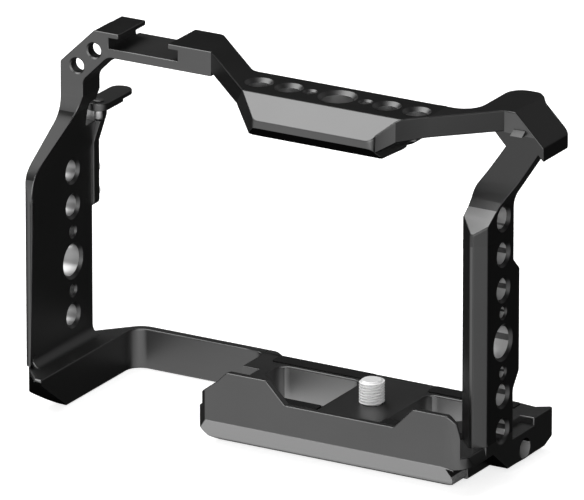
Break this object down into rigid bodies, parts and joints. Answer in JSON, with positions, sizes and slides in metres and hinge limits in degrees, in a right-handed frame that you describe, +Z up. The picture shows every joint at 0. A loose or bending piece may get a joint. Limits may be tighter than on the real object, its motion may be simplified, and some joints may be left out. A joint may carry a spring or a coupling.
{
  "type": "camera cage",
  "caption": "Open metal cage around a mirrorless camera body, with a cold shoe, rows of accessory threads, a captive camera screw and a swivelling lug clip.",
  "frame": {"origin": "middle of the bounding box's underside, on the floor", "axes": "+X to the right seen from the lens side, +Y from the lens side to the back, +Z up"},
  "size_m": [0.1398, 0.0528, 0.0938],
  "materials": {
    "frame": "black anodised, fine matte",
    "steel": "bright machined",
    "rubber": "matte"
  },
  "bodies": {
    "cage": {"left_panel": "frame", "cold_shoe_block": "frame", "top_bar": "frame", "right_shoulder": "frame", "right_panel": "frame", "bottom_arm": "frame", "base_plate": "frame", "front_lip": "frame", "rear_left_pad": "rubber", "rear_right_pad": "rubber", "front_left_pad": "rubber", "front_right_pad": "rubber", "clip_bracket": "frame", "clip_pivot_pin": "frame", "clip_screws": "steel"},
    "screw": {"camera_screw": "steel"},
    "tongue": {"clip_tongue": "frame"}
  },
  "joints": [
    {"name": "screw_turn", "type": "hinge", "parent": "cage", "child": "screw", "pos_m": [0.0198, 0.00415, 0.0104], "axis": [0, 0, 1], "continuous": true},
    {"name": "tongue_swing", "type": "hinge", "parent": "cage", "child": "tongue", "pos_m": [-0.063, 0.01305, 0.0705], "axis": [0, 0, 1], "range_deg": [-90, 45]}
  ]
}
